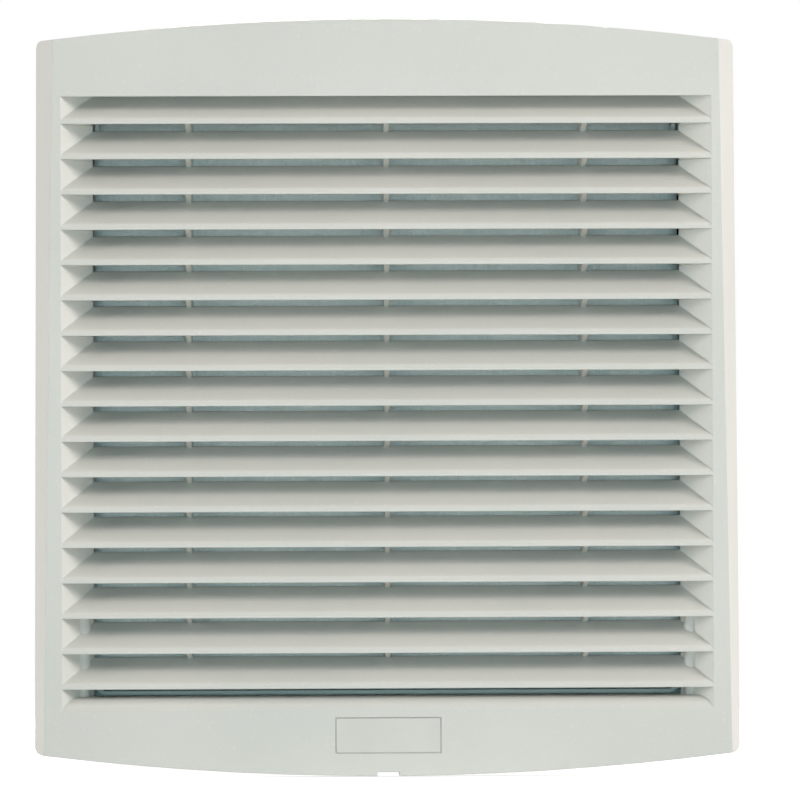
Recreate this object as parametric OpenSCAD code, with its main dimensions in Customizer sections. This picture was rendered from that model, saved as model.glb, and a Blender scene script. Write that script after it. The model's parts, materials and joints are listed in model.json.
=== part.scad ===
// Cabinet filter fan: louvred cover, filter mat, panel base and axial fan.
// The origin is the centre of the panel cut-out on the outer face of the panel.
// The front of the cover faces -Y, the fan stands behind the panel at +Y, and +Z is up.

/* [Panel] */
// Width of the panel cut-out
cutout = 223; // [215:1:226]
// Lap of the cover over the panel above and below the cut-out
lap_end = 22.5; // [20:0.5:30]
// Thickness of the panel sheet that the clips grip
panel_t = 2; // [1:0.5:3]

/* [Cover] */
// Overall width of the cover
cover_w = 252.6; // [246:0.2:270]
// Overall height of the cover at its crowned middle
cover_h = 268; // [264:1:290]
// Rise of the bowed top and bottom edges
crown = 8.2; // [4:0.1:9]
// Depth from the panel to the front face at the top edge
depth_top = 31.5; // [28:0.5:36]
// Depth from the panel to the front face at the bottom edge
depth_bottom = 16.5; // [16:0.5:20]
// Lean of the side walls
side_draft = 15; // [10:0.5:18]
// Wall thickness of the cover
cover_wall = 2.4; // [1.8:0.1:2.8]
// Radius of the four corners of the outline
corner_r = 3; // [2:0.1:8]
// Radius along the two long front edges
edge_r = 2; // [0.8:0.1:3]
// Gap between the rear rim of the cover and the panel
rim_gap = 1; // [0.5:0.1:2]
// Width of the pry notch in the bottom edge
notch_w = 7.8; // [5:0.1:12]
// Depth of the pry notch in the bottom edge
notch_d = 1.35; // [0.8:0.05:2]
// Width of the badge recess
badge_w = 37.5; // [20:0.5:60]
// Height of the badge recess
badge_h = 12.7; // [8:0.1:14]
// Depth of the badge recess
badge_d = 0.4; // [0.2:0.1:1]
// Diameter of the four plug pegs that hold the cover
peg_d = 6; // [4:0.5:7]

/* [Louvres] */
// Number of blades
blade_count = 17; // [9:1:17]
// Spacing of the blades along the front face
blade_pitch = 12.52; // [11.5:0.02:12.7]
// Depth of the blades behind the front face
blade_depth = 12; // [10:0.5:13]
// Slope of the blades
blade_angle = 37; // [28:1:38]
// Radius of the rounded front of a blade
lip_r = 2.2; // [1.4:0.1:3]
// Height of the flat lip under the rounding
lip_h = 0.7; // [0.4:0.1:1.2]
// Thickness of the lip at its lower edge
lip_t = 1.3; // [0.9:0.1:1.8]
// Thickness of a blade at its rear edge
blade_t = 1.5; // [1:0.1:2]
// Width of the grille window at the front face
window_w = 230.8; // [216:0.2:234]
// Width of the slots at their rear
throat_w = 209.4; // [190:0.2:212]
// Spacing of the three vertical ribs behind the blades
rib_pitch = 70.5; // [50:0.5:85]
// Thickness of the vertical ribs
rib_t = 1.8; // [1.2:0.1:3]
// Length of the foot of a rib on the blade below
rib_foot = 0.6; // [0.4:0.1:2]

/* [Base] */
// Clearance between the box and each side of the cut-out
box_gap = 0.75; // [0.4:0.05:1.2]
// Wall thickness of the box
box_wall = 2; // [1.6:0.1:2.4]
// Thickness of the flange
flange_t = 2.5; // [2:0.1:3]
// Thickness of the gasket
gasket_t = 2.5; // [2:0.1:3]
// Width of the gasket
gasket_w = 4; // [3:0.1:4.5]
// Space between the filter tray and the fan plate
plenum = 10; // [8:0.5:25]
// Thickness of the plate that carries the fan
plate_t = 4; // [3:0.5:6]
// Diameter of the four screw holes in the flange
screw_hole_d = 4.5; // [3.5:0.1:5]
// Distance of the screw holes from the middle, sideways
screw_hole_x = 100; // [90:1:104]

/* [Filter] */
// Width of the filter mat
mat_w = 206.6; // [195:0.2:207]
// Clearance of the mat in its tray
mat_gap = 0.4; // [0.2:0.1:2]
// Thickness of the filter mat
mat_t = 16.5; // [12:0.5:20]
// Wall thickness of the filter tray
tray_wall = 1.5; // [1.2:0.1:1.8]
// Thickness of the tray floor
tray_floor = 2.5; // [2:0.1:4]
// Number of bars each way in the tray floor
tray_bars = 7; // [4:1:9]
// Width of the tray bars
tray_bar_w = 2.4; // [1.6:0.1:4]

/* [Clips] */
// Height of a clip lever
clip_h = 16; // [10:0.5:24]
// Thickness of a clip lever
clip_t = 1.8; // [1.4:0.1:2]
// Reach of a clip tooth past the cut-out
clip_reach = 3; // [1.5:0.1:3]
// Distance of the clips from the middle, up and down
clip_z = 68; // [40:1:80]
// Diameter of a clip pin
clip_pin_d = 2; // [1.6:0.1:2.4]

/* [Fan] */
// Long diameter of the fan housing
fan_d = 172; // [166:1:176]
// Width of the fan housing over its flats
fan_flat = 150; // [148:1:158]
// Depth of the fan housing
fan_depth = 51; // [50:1:60]
// Diameter of the airway
airway_d = 145; // [138:0.5:145]
// Thickness of the housing flanges
fan_flange_t = 4; // [3:0.5:6]
// Pitch circle of the fan mounting holes
fan_hole_circle = 162; // [158:0.5:163]
// Diameter of the fan mounting holes
fan_hole_d = 4.5; // [4.2:0.1:5]
// Number of impeller blades
vane_count = 7; // [4:1:9]
// Clearance of the blade tips in the airway
tip_gap = 1.5; // [1:0.1:4]
// Thickness of the impeller blades
vane_t = 2; // [1.4:0.1:3]
// Diameter of the rotor cup
cup_d = 86; // [80:1:92]
// Wall of the rotor cup
cup_wall = 2; // [1.5:0.1:3]
// Diameter of the motor shaft
shaft_d = 8; // [6:0.5:10]
// Outer diameter of the bearings
bearing_d = 22; // [18:0.5:24]
// Width of a bearing
bearing_w = 7; // [5:0.5:8]
// Running clearance of the shaft in its bearings
shaft_gap = 0.04; // [0.02:0.01:0.08]
// Air gap between the stator and the rotor cage
air_gap = 0.6; // [0.4:0.1:1]
// Number of stator slots
slot_count = 12; // [6:2:16]
// Wire diameter of the finger guard
guard_wire = 2.2; // [1.6:0.1:3]
// Number of guard rings
guard_rings = 6; // [3:1:8]

/* [Hidden] */
$fn = 64;
arc_fn = 720;
past = 1;
seat_gap = 0.3;
fit_gap = 0.1;

// Front face: it leans so that the cover is deeper at the top
depth_mid = (depth_top + depth_bottom) / 2;
lean = atan((depth_top - depth_bottom) / cover_h);
crown_r = (pow(cover_w / 2, 2) + crown * crown) / (2 * crown);
reach_z = cover_h / 2 + 10 * past;
inner_r = 0.5;

// Blade profile along u (behind the front face) and w (up the front face)
lip_turn = 90 - blade_angle;
nose_u = lip_r * (1 - cos(lip_turn));
nose_w = lip_h + lip_r * sin(lip_turn);
blade_rise = nose_w + (blade_depth - nose_u) * tan(blade_angle);
blade_under = blade_rise - blade_t / cos(blade_angle);
slot_gap = blade_pitch - blade_rise;
pack_shift = -3.1;
first_lip = pack_shift + blade_pitch * (blade_count - 1) / 2;
last_lip = first_lip - blade_pitch * (blade_count - 1);
top_room = 9.7;
top_edge = first_lip + top_room;
roof_rise = 2;
top_rear = first_lip + blade_rise + roof_rise;
sill_r = 6.2;
sill_u = 6;
sill_drop = 9.2;
sill_w = last_lip - sill_drop;
sill_edge = sill_w + sqrt(sill_r * sill_r - sill_u * sill_u);
sill_top = sill_w + sill_r;
pack_wall = 2;
post_r = 2.6;
post_out = 3.7;
post_slots = 3;
window_taper = (window_w - throat_w) / 2 / blade_depth;
badge_up = 14.1;
badge_z = -cover_h / 2 + badge_up;

// Depths of the pieces behind the panel face
tray_set = 0.4;
tray_y = tray_set;
mat_y = tray_y + mat_gap;
floor_y = mat_y + mat_t + seat_gap;
ledge_y = floor_y + tray_floor;
plate_y = ledge_y + plenum;
fan_y = plate_y + plate_t;
fan_rear = fan_y + fan_depth;

// Cut-out, box, flange and gasket, with half sizes across and up
cut_half = [cutout / 2, cover_h / 2 - lap_end];
flange_front = -gasket_t - flange_t;
flange_gap = 0.5;
flange_inset = cover_wall / cos(side_draft) + tan(side_draft) * (-flange_front - rim_gap) + flange_gap;
box_half = drawn_in(cut_half, box_gap);
box_in = drawn_in(box_half, box_wall);
box_corner_r = 4;
ledge_w = 3;
ledge_half = drawn_in(box_in, ledge_w);
taper_start = 2;
taper_y = ledge_y + taper_start;
taper_in = 13.75;
rear_half = drawn_in(box_half, taper_in);
gasket_gap = 1.7;
gasket_in = drawn_in(cut_half, -gasket_gap);
peg_rise = 9;
margin_z = cut_half.y + peg_rise;
peg_x = 62;
peg_boss_wall = 2;
peg_boss_h = 3;

// Tray, mat and clips
mat_half = drawn_in(cut_half, (cutout - mat_w) / 2);
mat_r = 3;
tray_half = drawn_in(mat_half, -mat_gap);
tray_fit = 0.2;
tray_rim = drawn_in(box_in, tray_fit);
clip_set = 0.25;
clip_x = box_half.x - clip_set;
pivot_in = 1.3;
pivot_x = clip_x - clip_t / 2 - pivot_in;
pivot_up = 3;
pivot_y = floor_y - pivot_up;
barrel_wall = 1;
barrel_r = clip_pin_d / 2 + barrel_wall;
tooth_y = panel_t + seat_gap;
lug_t = 3;
lug_gap = 0.3;
clip_play = 1.5;
clip_window = clip_h + 2 * lug_gap;
clip_sides = [[-1, 1], [-1, -1], [1, 1], [1, -1]];

// Fan and motor along the axis
airway_r = airway_d / 2;
tip_r = airway_r - tip_gap;
ring_wall = 4;
cup_set = 6;
cup_front = fan_y + cup_set;
cup_r = cup_d / 2;
base_set = 6;
base_y = fan_rear - base_set;
base_t = 4;
base_in = 3;
base_r = cup_r - base_in;
cup_gap = 3;
cup_rear = base_y - cup_gap;
tube_wall = 2;
bearing_r = bearing_d / 2;
tube_r = bearing_r + tube_wall;
boss_wall = 5;
boss_front = cup_front + cup_wall + boss_wall;
boss_gap = 1.5;
tube_front = boss_front + boss_gap;
core_set = 5;
core_front = tube_front + core_set;
core_l = 18;
core_rear = core_front + core_l;
slot_root = 5;
slot_tip = 3;
slot_w = 5;
slot_mouth = 2;
winding_gap = 0.2;
winding_in = 1.5;
winding_out = 2;
cage_t = 2.8;
cage_over = 2;
core_r = cup_r - cup_wall - cage_t - air_gap;
winding_h = 4.5;
hub_t = 2;
hub_r = cup_r + hub_t;
hub_set = 2;
hub_front = cup_front + hub_set;
hub_rear = cup_rear - hub_set;
hub_sink = 1;
vane_angle_root = 46;
vane_angle_tip = 26;
vane_chord_root = 34;
vane_chord_tip = 44;
vane_camber = 3;
vane_edge = 0.3;
strut_w = 8;
strut_sink = 4;
hole_r = fan_hole_circle / 2;
eye_r = 3.4;
inner_ring = 16;
guard_lap = 1.5;
outer_ring = airway_r + guard_lap;
wire_r = guard_wire / 2;
guard_y = fan_rear + wire_r;
screw_r = 2;
head_r = 4.2;
head_gap = 0.6;
head_h = 2.4;
nut_h = 3.2;
tap_r = 1.65;
cross_l = 4.6;
cross_w = 0.8;
cross_d = 1.2;
bearing_set = 0.5;
rear_bearing_set = 1;
shield_w = 2;
shield_d = 0.5;
clip_ring_t = 0.8;
clip_ring_w = 2;
clip_ring_gap = 0.2;
groove_d = 0.7;
groove_r = shaft_d / 2 - groove_d;
cap_t = 2;
shaft_end_gap = 1;

// Terminal block on the rear of the fan plate
block_w = 27;
block_h = 17;
block_d = 15;
block_side = 3;
block_end = 5;
block_x = rear_half.x - block_w / 2 - block_side;
block_z = -(rear_half.y - block_h / 2 - block_end);
pole_pitch = 8.5;
entry = 3.6;
entry_y = 3;
well_d = 4;
well_gap = 0.2;
pole_screw_r = 2.4;
pole_screw_sunk = 0.8;

cover_colour = [0.80, 0.81, 0.79];
base_colour = [0.78, 0.79, 0.77];
mat_colour = [0.86, 0.89, 0.87];
dark_colour = [0.10, 0.10, 0.11];
steel_colour = [0.72, 0.73, 0.74];
rubber_colour = [0.16, 0.16, 0.17];
copper_colour = [0.72, 0.42, 0.20];

// Extrude a shape drawn in X and Z from y0 to y1
module along_y(y0, y1) {
    translate([0, y1, 0]) rotate([90, 0, 0]) linear_extrude(y1 - y0) children();
}

// Extrude a shape drawn in Y and Z from x0 to x1
module along_x(x0, x1) {
    translate([x0, 0, 0]) rotate([90, 0, 90]) linear_extrude(x1 - x0) children();
}

// Extrude a shape drawn in X and Y from z0 to z1
module along_z(z0, z1) {
    translate([0, 0, z0]) linear_extrude(z1 - z0) children();
}

// A cylinder along Y from y0 to y1
module rod_y(r, y0, y1) {
    translate([0, y0, 0]) rotate([-90, 0, 0]) cylinder(r = r, h = y1 - y0);
}

// Half sizes drawn in by d all round
function drawn_in(half, d) = [half.x - d, half.y - d];

// A rectangle of these half sizes with rounded corners, drawn about the middle
module rounded_rect(half, r) {
    difference() {
        square(2 * half, center = true);
        for (sx = [-1, 1], sz = [-1, 1])
            scale([sx, sz]) corner_waste(half.x - r, half.y - r, r);
    }
}

// What a corner of radius r loses outside its arc about (x, z)
module corner_waste(x, z, r) {
    translate([x, z]) difference() {
        square(r + past);
        circle(r);
    }
}

// Outline of the cover, moved inwards by inset: straight sides, bowed top and bottom
module cover_outline(inset, r) {
    half = cover_w / 2 - inset;
    arc_r = crown_r - inset;
    arc_z = cover_h / 2 - crown_r;
    fillet_z = arc_z + sqrt(pow(arc_r - r, 2) - pow(half - r, 2));
    fillet = [half - r, fillet_z];
    touch = [0, arc_z] + (fillet - [0, arc_z]) * arc_r / (arc_r - r);
    difference() {
        intersection() {
            square([2 * half, cover_h], center = true);
            translate([0, arc_z]) circle(arc_r, $fn = arc_fn);
            translate([0, -arc_z]) circle(arc_r, $fn = arc_fn);
        }
        for (sx = [0, 1], sz = [0, 1])
            mirror([sx, 0]) mirror([0, sz]) difference() {
                polygon([fillet, [half + past, fillet_z], [half + past, cover_h], [touch.x, cover_h], touch]);
                translate(fillet) circle(r);
            }
    }
}

// Solid inside the outline, the leaning front face and the leaning sides
module cover_block(inset, r, rear) {
    front_y = -depth_mid + inset / cos(lean);
    half = cover_w / 2 - inset / cos(side_draft);
    side_in = tan(side_draft) * (2 * depth_top);
    intersection() {
        along_y(-2 * depth_top, rear) cover_outline(inset, r);
        along_x(-cover_w, cover_w) polygon([
            [rear + past, -reach_z],
            [front_y + tan(lean) * reach_z, -reach_z],
            [front_y - tan(lean) * reach_z, reach_z],
            [rear + past, reach_z]]);
        along_z(-reach_z, reach_z) polygon([
            [-half - past, rear + past],
            [-half, -rim_gap],
            [-half + side_in, -rim_gap - 2 * depth_top],
            [half - side_in, -rim_gap - 2 * depth_top],
            [half, -rim_gap],
            [half + past, rear + past]]);
    }
}

// Waste outside the rounding of the long front edge on the right
module front_edge_waste() {
    n1 = [0, -cos(lean), -sin(lean)];
    n2 = [cos(side_draft), -sin(side_draft), 0];
    run = cross(n2, n1) / norm(cross(n2, n1));
    swing = acos(run.z);
    heading = atan2(run.y, run.x);
    axis_u = [cos(swing) * cos(heading), cos(swing) * sin(heading), -sin(swing)];
    axis_v = [-sin(heading), cos(heading), 0];
    edge = [cover_w / 2 - tan(side_draft) * (depth_mid - rim_gap), -depth_mid, 0];
    centre = -(n1 + n2) * edge_r / (1 + n1 * n2);
    steps = 5;
    rounding = [for (k = [0 : steps])
        let (normal = n1 * (1 - k / steps) + n2 * k / steps)
        centre + edge_r * normal / norm(normal)];
    outside = [rounding[steps] + past * n2, past * (n1 + n2), rounding[0] + past * n1];
    translate(edge) rotate([0, swing, heading]) linear_extrude(2 * cover_h, center = true)
        polygon([for (p = concat(rounding, outside)) [p * axis_u, p * axis_v]]);
}

// Place children drawn in X, u and w on the leaning front face
module on_front() {
    translate([0, -depth_mid, 0]) rotate([lean, 0, 0]) children();
}

// Point of the rounded lip at angle a, for a lip at w
function lip_point(w, a) = [lip_r * (1 - cos(a)), w + lip_h + lip_r * sin(a)];

// Upper surface of a blade whose lip is at w, its first facet carried on in front of the front face
function blade_top(w) =
    let (step = lip_turn / 6)
    concat(
        [2 * lip_point(w, 0) - lip_point(w, step)],
        [for (k = [1 : 6]) lip_point(w, k * step)],
        [[blade_depth + past, w + blade_rise + past * tan(blade_angle)]]);

// Space between the upper surface of blade i and the lip above it
function slot_profile(i) =
    let (w = first_lip - blade_pitch * i)
    let (roof = i == 0
        ? [[blade_depth + past, top_rear], [0, top_edge], [-past, top_edge]]
        : [[blade_depth + past, w + blade_pitch], [-past, w + blade_pitch]])
    concat([[-past, blade_top(w)[0].y]], blade_top(w), roof);

// Trapezoid plan of the window, widened by extra
module window_plan(extra) {
    front = window_w / 2 + extra + window_taper * past;
    rear = throat_w / 2 + extra - window_taper * past;
    polygon([[-front, -past], [front, -past], [rear, blade_depth + past], [-rear, blade_depth + past]]);
}

// Block that the louvres are cut from
module louvre_block() {
    intersection() {
        along_z(sill_edge - cover_wall, top_rear + pack_wall) window_plan(pack_wall);
        along_x(-window_w, window_w) polygon([
            [cover_wall / 2, sill_edge - cover_wall],
            [cover_wall, sill_edge - cover_wall],
            [cover_wall, sill_top - pack_wall],
            [blade_depth, sill_top - pack_wall],
            [blade_depth, top_rear + pack_wall],
            [cover_wall / 2, top_rear + pack_wall]]);
    }
}

// Slots in front of the blades, the lowest one over the rounded sill
module louvre_slots() {
    intersection() {
        along_z(sill_edge - 2 * past, top_rear + 2 * past) window_plan(0);
        along_x(-window_w, window_w) union() {
            for (i = [0 : blade_count - 1])
                polygon(slot_profile(i));
            difference() {
                polygon([
                    [-past, sill_edge],
                    [0, sill_edge],
                    [sill_u, sill_top],
                    [blade_depth + past, sill_top],
                    [blade_depth + past, last_lip],
                    [-past, last_lip]]);
                translate([sill_u, sill_w]) circle(sill_r);
            }
        }
    }
}

// Hollows behind the blades, between the slots
module louvre_hollows() {
    along_x(-throat_w / 2, throat_w / 2)
        for (i = [0 : blade_count - 1])
            translate([0, first_lip - blade_pitch * i]) polygon([
                [lip_t, 0],
                [blade_depth + past, 0],
                [blade_depth + past, blade_under],
                [blade_depth, blade_under]]);
}

// Ribs that slope from each lip to the rear of the blade below
module louvre_ribs() {
    foot_drop = slot_gap + rib_foot * tan(blade_angle);
    for (x = [-rib_pitch, 0, rib_pitch])
        along_x(x - rib_t / 2, x + rib_t / 2)
            for (i = [0 : blade_count - 2])
                translate([0, first_lip - blade_pitch * i]) polygon([
                    [lip_t / 2, 0],
                    [blade_depth - rib_foot, -foot_drop],
                    [blade_depth, -foot_drop],
                    [blade_depth, blade_under],
                    [lip_t, lip_h]]);
}

// Rounded posts at the rear of the side walls, beside the lowest slots
module louvre_posts() {
    post_x = throat_w / 2 + post_out;
    post_top = last_lip + blade_pitch * (post_slots - 1);
    for (side = [-1, 1])
        translate([side * post_x, blade_depth - post_r - seat_gap, sill_top - pack_wall])
            cylinder(r = post_r, h = post_top - sill_top + pack_wall);
}

// Stems behind the ribs that hold the mat down
module mat_stems() {
    stem_y = mat_y - seat_gap;
    stem_z = mat_half.y - mat_r;
    root = -depth_mid + blade_depth / cos(lean) - rib_foot / 2;
    for (x = [-rib_pitch, 0, rib_pitch])
        along_x(x - rib_t / 2, x + rib_t / 2) polygon([
            [stem_y, -stem_z],
            [root + tan(lean) * stem_z, -stem_z],
            [root - tan(lean) * stem_z, stem_z],
            [stem_y, stem_z]]);
}

// Pegs that plug into the bosses of the flange
module cover_pegs() {
    for (sx = [-1, 1], sz = [-1, 1]) {
        peg_root = -depth_mid - tan(lean) * sz * margin_z + cover_wall / 2;
        translate([sx * peg_x, 0, sz * margin_z])
            rod_y(peg_d / 2, peg_root, -gasket_t - 2 * seat_gap);
    }
}

// Shell of the cover with its louvre block
module cover_shell() {
    difference() {
        cover_block(0, corner_r, -rim_gap);
        cover_block(cover_wall, max(corner_r - cover_wall, inner_r), -rim_gap + past);
    }
    on_front() louvre_block();
}

// Cuts that only the outside of the cover shows
module cover_trim() {
    front_edge_waste();
    mirror([1, 0, 0]) front_edge_waste();
    translate([-notch_w / 2, -2 * depth_top, -cover_h / 2 - past])
        cube([notch_w, 4 * depth_top, notch_d + past]);
    on_front() translate([-badge_w / 2, -past, badge_z - badge_h / 2])
        cube([badge_w, badge_d + past, badge_h]);
}

// Everything cut away between the blades, ribs and posts
module louvre_cuts() {
    difference() {
        union() {
            louvre_slots();
            louvre_hollows();
        }
        louvre_ribs();
        louvre_posts();
    }
}

module grille_cover() {
    color(cover_colour) {
        difference() {
            difference() {
                cover_shell();
                cover_trim();
            }
            on_front() louvre_cuts();
        }
        mat_stems();
        cover_pegs();
    }
}

module filter_mat() {
    color(mat_colour) along_y(mat_y, mat_y + mat_t) rounded_rect(mat_half, mat_r);
}

// Profile of the box: straight from y0, then drawn in from half to rear at y1
function hopper(half, rear, y0, y1) =
    [[-half, y0], [-half, taper_y], [-rear, y1], [rear, y1], [half, taper_y], [half, y0]];

// Profile of the bevel in the flange opening
function bevel(half) =
    let (wide = half + flange_t + past)
    [[-wide, flange_front - past], [-half, -gasket_t], [-half, 0],
        [half, 0], [half, -gasket_t], [wide, flange_front - past]];

// What lies inside a profile across and a profile up
module between(across, up, reach) {
    intersection() {
        along_z(-reach.y, reach.y) polygon(across);
        along_x(-reach.x, reach.x) polygon([for (p = up) [p.y, p.x]]);
    }
}

// Outside of the box: straight behind the panel, drawn in towards the fan plate
module box_outside() {
    intersection() {
        along_y(flange_front, fan_y) rounded_rect(box_half, box_corner_r);
        between(hopper(box_half.x, rear_half.x, flange_front, fan_y),
            hopper(box_half.y, rear_half.y, flange_front, fan_y), 2 * box_half);
    }
}

// Inside of the box, with the ledge that the tray sits on
module box_inside() {
    rear_in = drawn_in(rear_half, box_wall / 2);
    along_y(-gasket_t - past, ledge_y) rounded_rect(box_in, box_corner_r - box_wall);
    between(bevel(box_in.x), bevel(box_in.y), 2 * box_half);
    between(hopper(ledge_half.x, rear_in.x, ledge_y - past, plate_y),
        hopper(ledge_half.y, rear_in.y, ledge_y - past, plate_y), ledge_half);
}

// Holes for the fan screws and the airway in the fan plate
module fan_plate_holes() {
    rod_y(airway_r + seat_gap, plate_y - past, fan_y + past);
    at_fan_holes() rod_y(tap_r, plate_y - past, fan_y + past);
}

// Repeat children at the four fan mounting holes
module at_fan_holes() {
    for (quarter = [0 : 3])
        at_fan_hole(quarter) children();
}

// Place children at one fan mounting hole
module at_fan_hole(quarter) {
    rotate([0, -45 - 90 * quarter, 0]) translate([hole_r, 0, 0]) children();
}

// Lugs either side of a clip lever
module clip_lugs(side) {
    lug_in = pivot_x - barrel_r - fit_gap;
    lug_x = side > 0 ? lug_in : -box_in.x - past;
    for (end = [-1, 1])
        translate([lug_x, pivot_y - barrel_r, clip_z_end(end) - lug_t / 2])
            cube([box_in.x + past - lug_in, 2 * barrel_r, lug_t]);
}

function clip_z_end(end) = end * (clip_window + lug_t) / 2;

module base_frame() {
    color(base_colour) difference() {
        union() {
            along_y(flange_front, -gasket_t) cover_outline(flange_inset, corner_r);
            box_outside();
            for (sx = [-1, 1], sz = [-1, 1])
                translate([sx * peg_x, 0, sz * margin_z])
                    rod_y(peg_d / 2 + fit_gap + peg_boss_wall, flange_front - peg_boss_h, -gasket_t);
        }
        difference() {
            box_inside();
            for (c = clip_sides)
                translate([0, 0, c.y * clip_z]) clip_lugs(c.x);
        }
        fan_plate_holes();
        for (c = clip_sides)
            translate([0, 0, c.y * clip_z]) {
                window_x = c.x > 0 ? box_in.x - past : -box_half.x - past;
                window_y = tooth_y - clip_play;
                window_end = pivot_y + barrel_r + lug_gap;
                translate([window_x, window_y, -clip_window / 2])
                    cube([box_wall + 2 * past, window_end - window_y, clip_window]);
                translate([c.x * pivot_x, pivot_y, 0])
                    cylinder(d = clip_pin_d, h = clip_window + 2 * lug_t, center = true);
            }
        for (sx = [-1, 1], sz = [-1, 1]) {
            translate([sx * peg_x, 0, sz * margin_z])
                rod_y(peg_d / 2 + fit_gap, flange_front - peg_boss_h - past, past - gasket_t);
            translate([sx * screw_hole_x, 0, sz * margin_z])
                rod_y(screw_hole_d / 2, flange_front - past, past - gasket_t);
        }
    }
}

module filter_tray() {
    bay = 2 * tray_half / tray_bars;
    color(base_colour) difference() {
        union() {
            along_y(tray_y, floor_y + past) rounded_rect(drawn_in(tray_half, -tray_wall), mat_r + tray_wall);
            along_y(floor_y, ledge_y) rounded_rect(tray_rim, box_corner_r - box_wall);
        }
        along_y(tray_y - past, floor_y) rounded_rect(tray_half, mat_r);
        for (i = [0 : tray_bars - 1], j = [0 : tray_bars - 1])
            translate([(i + 0.5) * bay.x - tray_half.x, 0, (j + 0.5) * bay.y - tray_half.y])
                along_y(floor_y - past, ledge_y + past) square(drawn_in(bay, tray_bar_w), center = true);
    }
}

module panel_gasket() {
    color(rubber_colour) along_y(-gasket_t, 0) difference() {
        rounded_rect(drawn_in(gasket_in, -gasket_w), box_corner_r + gasket_w);
        rounded_rect(gasket_in, box_corner_r);
    }
}

// Lever of one clip: barrel on the pin, spring arm and tooth behind the panel
module clip_lever(side, level) {
    tip_x = cut_half.x + clip_reach;
    tip_t = 1.2;
    color(dark_colour) translate([0, 0, level * clip_z]) mirror([side > 0 ? 0 : 1, 0, 0]) difference() {
        union() {
            along_z(-clip_h / 2, clip_h / 2) polygon([
                [clip_x - clip_t, tooth_y],
                [tip_x, tooth_y],
                [tip_x, tooth_y + tip_t],
                [clip_x, pivot_y - barrel_r],
                [clip_x, pivot_y],
                [clip_x - clip_t, pivot_y]]);
            translate([pivot_x, pivot_y, 0]) cylinder(r = barrel_r, h = clip_h, center = true);
        }
        translate([pivot_x, pivot_y, 0])
            cylinder(d = clip_pin_d + 2 * fit_gap, h = clip_h + past, center = true);
    }
}

module clip_pin(side, level) {
    color(steel_colour) translate([side * pivot_x, pivot_y, level * clip_z])
        cylinder(d = clip_pin_d, h = clip_window + 2 * lug_t, center = true);
}

// Flange outline of the fan: round, with two flats
module fan_outline(r) {
    intersection() {
        circle(r, $fn = 128);
        square([fan_flat, 2 * r], center = true);
    }
}

module fan_housing() {
    color(dark_colour) {
        difference() {
            union() {
                along_y(fan_y, fan_y + fan_flange_t) fan_outline(fan_d / 2);
                along_y(fan_rear - fan_flange_t, fan_rear) fan_outline(fan_d / 2);
                difference() {
                    along_y(fan_y + fan_flange_t / 2, fan_rear - fan_flange_t / 2)
                        fan_outline(airway_r + ring_wall);
                    at_fan_holes() rod_y(head_r + head_gap, fan_y, fan_rear);
                }
            }
            rod_y(airway_r, fan_y - past, fan_rear + past);
            at_fan_holes() rod_y(fan_hole_d / 2, fan_y - past, fan_rear + past);
        }
        difference() {
            union() {
                rod_y(base_r, base_y, base_y + base_t);
                rod_y(tube_r, tube_front, base_y + base_t);
                for (turn = [0 : 90 : 270])
                    rotate([0, turn, 0]) translate([base_r - strut_sink, base_y, -strut_w / 2])
                        cube([airway_r + past - base_r + strut_sink, fan_rear - base_y, strut_w]);
            }
            rod_y(bearing_r, tube_front - past, base_y + base_t + past);
        }
    }
}

module stator_core() {
    color(steel_colour) along_y(core_front, core_rear) difference() {
        circle(core_r);
        circle(tube_r);
        stator_slots(0);
    }
}

// Slots of the stator, drawn in by inset
module stator_slots(inset) {
    slot_in = tube_r + slot_root;
    slot_out = core_r - slot_tip;
    for (i = [0 : slot_count - 1])
        rotate(i * 360 / slot_count) {
            translate([slot_in + inset, -slot_w / 2 + inset])
                square([slot_out - slot_in - 2 * inset, slot_w - 2 * inset]);
            if (inset == 0) translate([slot_out - past, -slot_mouth / 2])
                square([slot_tip + 2 * past, slot_mouth]);
        }
}

module stator_windings() {
    color(copper_colour) {
        along_y(core_front, core_rear) stator_slots(winding_gap);
        for (y = [core_front - winding_h, core_rear])
            along_y(y, y + winding_h) difference() {
                circle(core_r - winding_out);
                circle(tube_r + winding_in);
            }
    }
}

// A ball bearing with recessed shields, its front face at y
module bearing(y) {
    shield_in = shaft_d / 2 + shield_w;
    shield_out = bearing_r - shield_w;
    color(steel_colour) difference() {
        rod_y(bearing_r, y, y + bearing_w);
        rod_y(shaft_d / 2 + shaft_gap, y - past, y + bearing_w + past);
        for (face = [y - past, y + bearing_w - shield_d])
            difference() {
                rod_y(shield_out, face, face + past + shield_d);
                rod_y(shield_in, face - past, face + 3 * past);
            }
    }
}

rear_bearing_y = base_y - bearing_w - rear_bearing_set;

module bearing_front() {
    bearing(tube_front + bearing_set);
}

module bearing_rear() {
    bearing(rear_bearing_y);
}

module bearing_cap() {
    color(dark_colour) rod_y(bearing_r, base_y + base_t - cap_t, base_y + base_t);
}

shaft_rear = base_y + base_t - cap_t - shaft_end_gap;
clip_ring_y = rear_bearing_y + bearing_w + clip_ring_gap;

module motor_shaft() {
    color(steel_colour) difference() {
        rod_y(shaft_d / 2, cup_front, shaft_rear);
        difference() {
            rod_y(shaft_d, clip_ring_y, clip_ring_y + clip_ring_t);
            rod_y(groove_r, clip_ring_y - past, clip_ring_y + clip_ring_t + past);
        }
    }
}

module shaft_clip() {
    color(steel_colour) difference() {
        rod_y(shaft_d / 2 + clip_ring_w, clip_ring_y, clip_ring_y + clip_ring_t);
        rod_y(groove_r, clip_ring_y - past, clip_ring_y + clip_ring_t + past);
    }
}

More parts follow.
